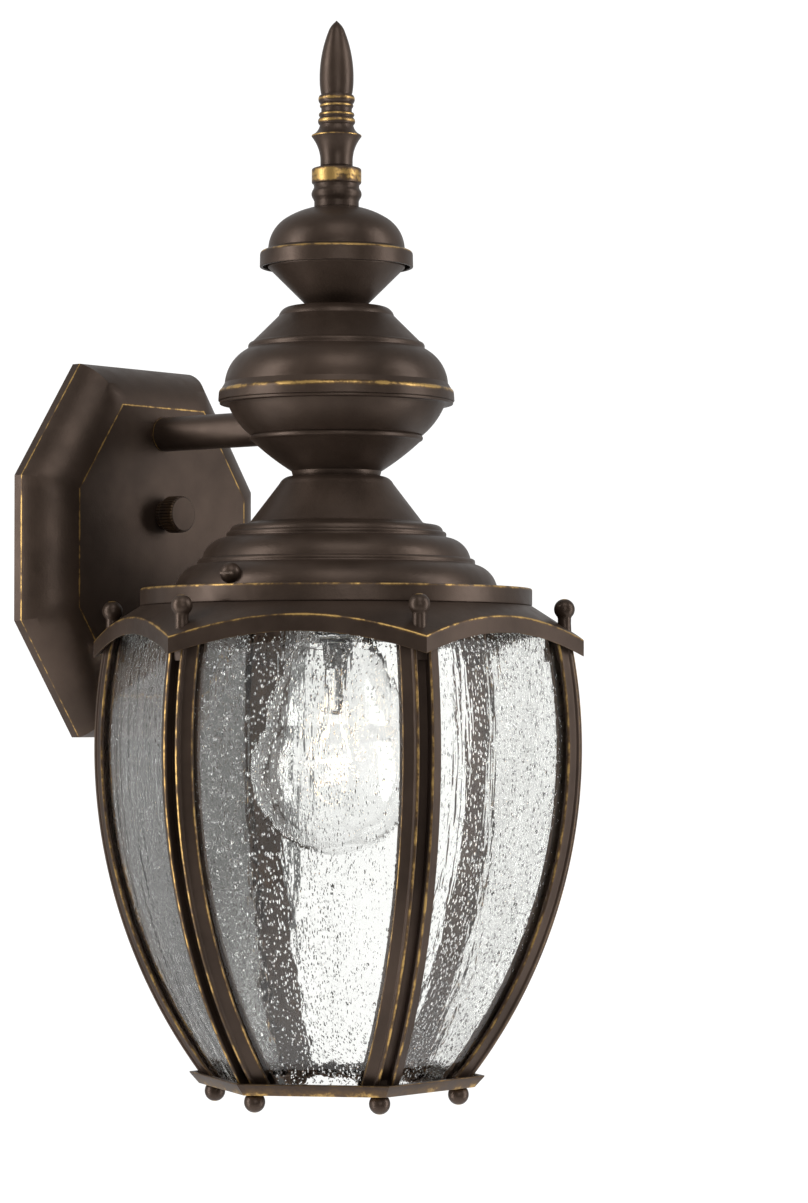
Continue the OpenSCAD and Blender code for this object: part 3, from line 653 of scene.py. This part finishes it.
def rib_section():
    half = rounded(RIB_HALF[1:-1], 0.45, False, 5)
    half = [RIB_HALF[0]] + finer(half, 0.8) + [RIB_HALF[-1]]
    return half + [(x, -y) for x, y in half[-2:0:-1]]


def make_rib(k):
    """One rib: its section follows the cage's curve from the crown's underside to the tray."""
    bm = bmesh.new()
    at = around(-120 + 60 * k)
    section, steps, first_reach = rib_section(), 72, 80
    rings, wear, ends = [], [], []
    for x, y in section:
        r = RIB_CURVE + x
        low = math.asin((TRAY_FLOOR - WAIST_Z) / r)
        reach = first_reach
        for _ in range(9):
            high = math.asin((cone_z(reach) - COVER_T - WAIST_Z) / r)
            reach = math.hypot(RIB_CENTRE + r * math.cos(high), y)
        ends.append((low, high))
    for i in range(steps + 1):
        ring, marks = [], []
        for (x, y), (low, high) in zip(section, ends):
            a = low + (high - low) * i / steps
            r = RIB_CURVE + x
            ring.append(at(Vector((RIB_CENTRE + r * math.cos(a), y, WAIST_Z + r * math.sin(a)))))
            marks.append(0.72 * rub_of((x, abs(y)), RIB_RUBS))
        rings.append(ring)
        wear.append(marks)
    made = loft(bm, rings, wear)
    bm.faces.new(made[0])
    bm.faces.new(made[-1][::-1])
    head_top = cone_z(BALL_CIRCLE) - COVER_T
    box_into(bm, (HEAD_IN, -LUG_HALF, HEAD_LOW), (HEAD_OUT, LUG_HALF, head_top), at)
    box_into(bm, (FOOT_IN, -LUG_HALF, TRAY_FLOOR), (FOOT_OUT, LUG_HALF, TRAY_FLOOR + FOOT_H), at)
    piece(f"rib_cast_{k}", bm, BRONZE, f"rib_{k}", sharp=42)


def panel_face(inset, z):
    return PANEL_CENTRE + math.sqrt((PANEL_CURVE - inset) ** 2 - (z - WAIST_Z) ** 2)


def panel_point(inset, across, up):
    """A point of a panel's face, from -1 to 1 across it and from 0 to 1 up it, under the crown."""
    low, first_reach = TRAY_FLOOR + GLASS_FOOT_GAP, 75
    top = cone_z(first_reach) - COVER_T - GLASS_TOP_GAP
    for _ in range(6):
        z = low + (top - low) * up
        out = panel_face(inset, z)
        y = across * (panel_face(GLASS_EDGE, z) - out / 2) / COS30
        top = cone_z(math.hypot(out, y)) - COVER_T - GLASS_TOP_GAP
    return out, y, low + (top - low) * up


def make_glass(k):
    """One bent panel: a fine curved sheet whose inner face ripples slightly."""
    bm = bmesh.new()
    at = around(-90 + 60 * (k - 1))
    cols, rows, wave = 44, 96, 0.10
    sheets = []
    for inset in (GLASS_IN, GLASS_IN + GLASS_T):
        grid = []
        for j in range(rows + 1):
            row = []
            for i in range(cols + 1):
                out, y, z = panel_point(inset, 2 * i / cols - 1, j / rows)
                if inset > GLASS_IN:
                    out -= wave * noise.noise(Vector((y * 0.11, z * 0.03, 7.0 * k)))
                row.append(bm.verts.new(at(Vector((out, y, z))) * MM))
            grid.append(row)
        sheets.append(grid)
    for grid in sheets:
        for j in range(rows):
            for i in range(cols):
                bm.faces.new((grid[j][i], grid[j][i + 1], grid[j + 1][i + 1], grid[j + 1][i]))
    rims = [g[0] + [r[-1] for r in g[1:]] + g[-1][-2::-1] + [r[0] for r in g[-2:0:-1]] for g in sheets]
    for i in range(len(rims[0])):
        bm.faces.new((rims[0][i], rims[0][i - 1], rims[1][i - 1], rims[1][i]))
    piece(f"glass_panel_{k}", bm, SEEDED, f"glass_{k}", sharp=30)


def make_tray():
    """A hexagonal tray with a flared lip and a round opening for the lamp."""
    bm = bmesh.new()
    rings, wear = [], []
    lip, base, lip_top = TRAY_LIP_R * COS30, TRAY_BASE_R * COS30, TRAY_Z + TRAY_LIP_H
    inner = base - TRAY_LIP_T + (lip - base) / TRAY_LIP_H * TRAY_T
    rubs = [(lip, lip_top, 0.6), (base, TRAY_Z, 0.4)]
    segments = 6 * 24
    for k in range(segments):
        a = 360 * k / segments
        c = math.cos(math.radians(a % 60 - 30))
        corners = [(TRAY_HOLE_R, TRAY_Z), (base / c, TRAY_Z), (lip / c, lip_top),
                   ((lip - TRAY_LIP_T) / c, lip_top), (inner / c, TRAY_FLOOR), (TRAY_HOLE_R, TRAY_FLOOR)]
        pts = rounded(corners, 0.4)
        at = around(a)
        rings.append([at(Vector((r, 0, z))) for r, z in pts])
        wear.append([0.7 * rub_of((r * c, z), rubs) for r, z in pts])
    loft(bm, rings, wear, closed_way=True)
    piece("tray_formed", bm, BRONZE, "tray", sharp=30)


# ---- Lamp ----
BULB_R, BULB_LOW, BULB_T, NECK_Z, NECK_R = 30.0, -110.3, 0.7, -28.0, 13.5
THREAD_LOW, THREAD_L, THREAD_PITCH, THREAD_R, THREAD_DEPTH = -25.0, 17.0, 3.6, 13.15, 0.72
MOUNT_TOP_R, MOUNT_TIP_Z, COIL_Z, COIL_HALF, COIL_R = 12.3, -60.7, -77.0, 9.4, 0.42


def on_bulb(degrees):
    a = math.radians(degrees)
    return BULB_R * math.cos(a), BULB_LOW + BULB_R + BULB_R * math.sin(a)


def tube(bm, path, radius, sides=10):
    """A round wire along a path, in the lantern's own frame."""
    rings = []
    for i, p in enumerate(path):
        d = (path[min(i + 1, len(path) - 1)] - path[max(i - 1, 0)]).normalized()
        u = d.cross(Vector((0, 1, 0.01))).normalized()
        v = d.cross(u)
        rings.append([p + Vector((0, AXIS_Y, 0)) + (u * math.cos(a) + v * math.sin(a)) * radius
                      for a in (math.tau * k / sides for k in range(sides))])
    loft(bm, rings)


def coil(bm, turns, wire):
    """A wire wound about a level line through the bulb's middle."""
    steps = turns * 14
    path = []
    for i in range(steps + 1):
        a = math.tau * turns * i / steps
        x = COIL_HALF * (2 * i / steps - 1)
        path.append(Vector((x, COIL_R * math.cos(a), COIL_Z + COIL_R * math.sin(a))))
    tube(bm, path, wire, 8)


def make_lamp():
    bulb = ([(0, BULB_LOW), (2, BULB_LOW)] + [on_bulb(-84 + 4 * i) for i in range(29)]
            + bow(on_bulb(32), (14.6, -36), -1.6, 16) + [(NECK_R, NECK_Z)])
    lathe("bulb", sheet(bulb, BULB_T), CLEAR, "lamp_glass", body="lamp", step=1.0, segments=96)

    heights = [THREAD_L * i / 96 for i in range(97)]
    crests = [(THREAD_R - THREAD_DEPTH / 2 * (1 - math.cos(math.tau * h / THREAD_PITCH)), THREAD_LOW + h)
              for h in heights]
    cap = [(12.4, NECK_Z), (NECK_R, NECK_Z), (13.3, -25.4)] + crests + [(9, -6), (8.3, -6), (11.7, -8.6)]
    lathe("lamp_cap", rounded(cap, 0.2), TINNED, "lamp_base", body="lamp", closed=True, step=0.6, segments=72)

    mount = ([(0, NECK_Z), (MOUNT_TOP_R, NECK_Z), (MOUNT_TOP_R, NECK_Z - 1.2)]
             + bow((11.6, -29.4), (5.5, -36), -1.4, 8) + [(4.2, -44), (3, -56)]
             + bow((2.6, -58.4), (0, MOUNT_TIP_Z), 0.7, 6))
    lathe("lamp_mount", rounded(mount, 0.4, False), CLEAR, "lamp_stem", body="lamp", step=0.8, segments=48)

    bm = bmesh.new()
    coil(bm, 26, 0.22)
    top, drop = MOUNT_TIP_Z + 0.1, 16.0
    along = [i / 12 for i in range(13)]
    for side in (-1, 1):
        path = [Vector((side * (2.2 + 7.0 * t), 0.5 * math.sin(3.1 * t), top - drop * t)) for t in along]
        tube(bm, path, 0.32)
    piece("filament_coil", bm, HOT, "lamp_filament", "lamp")


# ---- Build ----
make_wall_plate()
knurled("nut_washer", 5.5, PLATE_D, PLATE_D + WASHER_T, 28, True)
knurled("cap_nut", 6.8, PLATE_D + WASHER_T, PLATE_D + WASHER_T + CAP_NUT_L, 36, False)
make_arm()
make_stack()
make_screws()
make_disc()
make_crown()
make_tray()
for number in range(1, 7):
    make_rib(number)
    make_glass(number)
make_lamp()

# the parts inside keep their CAD shapes and get materials here
INSIDE = {"zinc_steel": STEEL, "brass": BRASS, "green_steel": GREEN, "porcelain": PORCELAIN,
          "black_glass": BLACK_GLASS, "black_lead": BLACK_LEAD, "white_lead": WHITE_LEAD, "copper": COPPER}
for node, slot in SLOTS.items():
    if slot in INSIDE:
        materials = frame["nodes"][node].data.materials
        materials.clear()
        materials.append(INSIDE[slot])


# ---- Camera: the lantern seen from its left front, a little below the roof ----
def make_camera():
    azimuth, distance, height = -50.0, 1390.0, -61.35
    yaw, pitch = 0.997, 1.705
    data = bpy.data.cameras.new("camera")
    data.sensor_width, data.lens = 36.0, 116.4
    data.clip_start, data.clip_end = 0.05, 60
    cam = bpy.data.objects.new("camera", data)
    a = math.radians(azimuth)
    cam.location = Vector((distance * math.sin(a), AXIS_Y - distance * math.cos(a), height)) * MM
    cam.rotation_euler = (math.radians(90 + pitch), 0, math.radians(azimuth - yaw))
    bpy.context.scene.collection.objects.link(cam)
    bpy.context.scene.camera = cam


# ---- Studio, in metres ----
def area(name, where, wide, tall, power):
    """A soft light that faces the lantern."""
    data = bpy.data.lights.new(name, "AREA")
    data.shape, data.size, data.size_y = "RECTANGLE", wide, tall
    data.energy = power
    light = bpy.data.objects.new(name, data)
    light.location = where
    to_lantern = Vector((0, AXIS_Y, -20)) * MM - light.location
    light.rotation_euler = to_lantern.to_track_quat("-Z", "Y").to_euler()
    bpy.context.scene.collection.objects.link(light)


def staged(name, bm, **look):
    """A surface of the studio, which isn't part of the lantern."""
    n = new_material(name)
    n.set(**look)
    obj = linked(name, bm, n.data)
    return obj


def painted_shade_card(name, left, right, level):
    """Painted shade: an upright grey card of even, dim brightness behind the wall side, seen only through the
    glass, where it darkens the view as the shade there would.
    """
    back, low, high = 0.10, -0.27, 0.02
    bm = bmesh.new()
    corners = ((left, low), (right, low), (right, high), (left, high))
    bm.faces.new([bm.verts.new((x, back, z)) for x, z in corners])
    shade = staged(name, bm, Base_Color=(0, 0, 0, 1), Emission_Color=(1, 0.97, 0.93, 1),
                   Emission_Strength=level)
    shade.visible_camera = shade.visible_diffuse = shade.visible_glossy = shade.visible_shadow = False


def make_world():
    """White for the camera and through glass, and for the rest dim, brighter towards one side."""
    world = bpy.data.worlds.new("studio")
    bpy.context.scene.world = world
    n = Nodes(world, "Background", "Generated")
    rays = n.add("ShaderNodeLightPath").outputs
    seen = n.math("MAXIMUM", rays["Is Camera Ray"], rays["Is Transmission Ray"])
    bright_side = (0.74, 0.60, 0.25)
    along = n.add("ShaderNodeVectorMath", {0: n.where, 1: bright_side}, operation="DOT_PRODUCT")
    level = n.span(along.outputs["Value"], -0.45, 0.95, 0.06, 0.55)
    n.set(Strength=n.add("ShaderNodeMix", {0: seen, 2: level, 3: 1.1}).outputs[0], Color=(1, 1, 1, 1))


def make_studio():
    make_world()
    bm = bmesh.new()
    bmesh.ops.create_circle(bm, cap_ends=True, segments=96, radius=3.0)
    floor = staged("floor", bm, Base_Color=(0.8, 0.8, 0.8, 1), Roughness=0.9, Emission_Color=(1, 1, 1, 1),
                   Emission_Strength=0.50)
    floor.location.z = -1.6
    area("key_left", (-1.25, 0.78, 0.10), 0.55, 2.6, 29)
    area("fill_right", (0.80, -1.38, 0.10), 0.50, 2.4, 22)
    area("top", (-0.6, -0.8, 1.2), 0.9, 0.9, 6)
    area("fill_front", (-1.15, -1.42, 0.20), 0.8, 0.8, 5)
    # painted shade: two dim cards, seen only through the glass, stand in for the shade on the wall side
    painted_shade_card("painted_shade_card_near", -0.06, 0.125, 0.06)
    painted_shade_card("painted_shade_card_far", 0.125, 0.213, 0.035)


make_camera()
make_studio()
scene = bpy.context.scene
scene.view_settings.view_transform = "Standard"
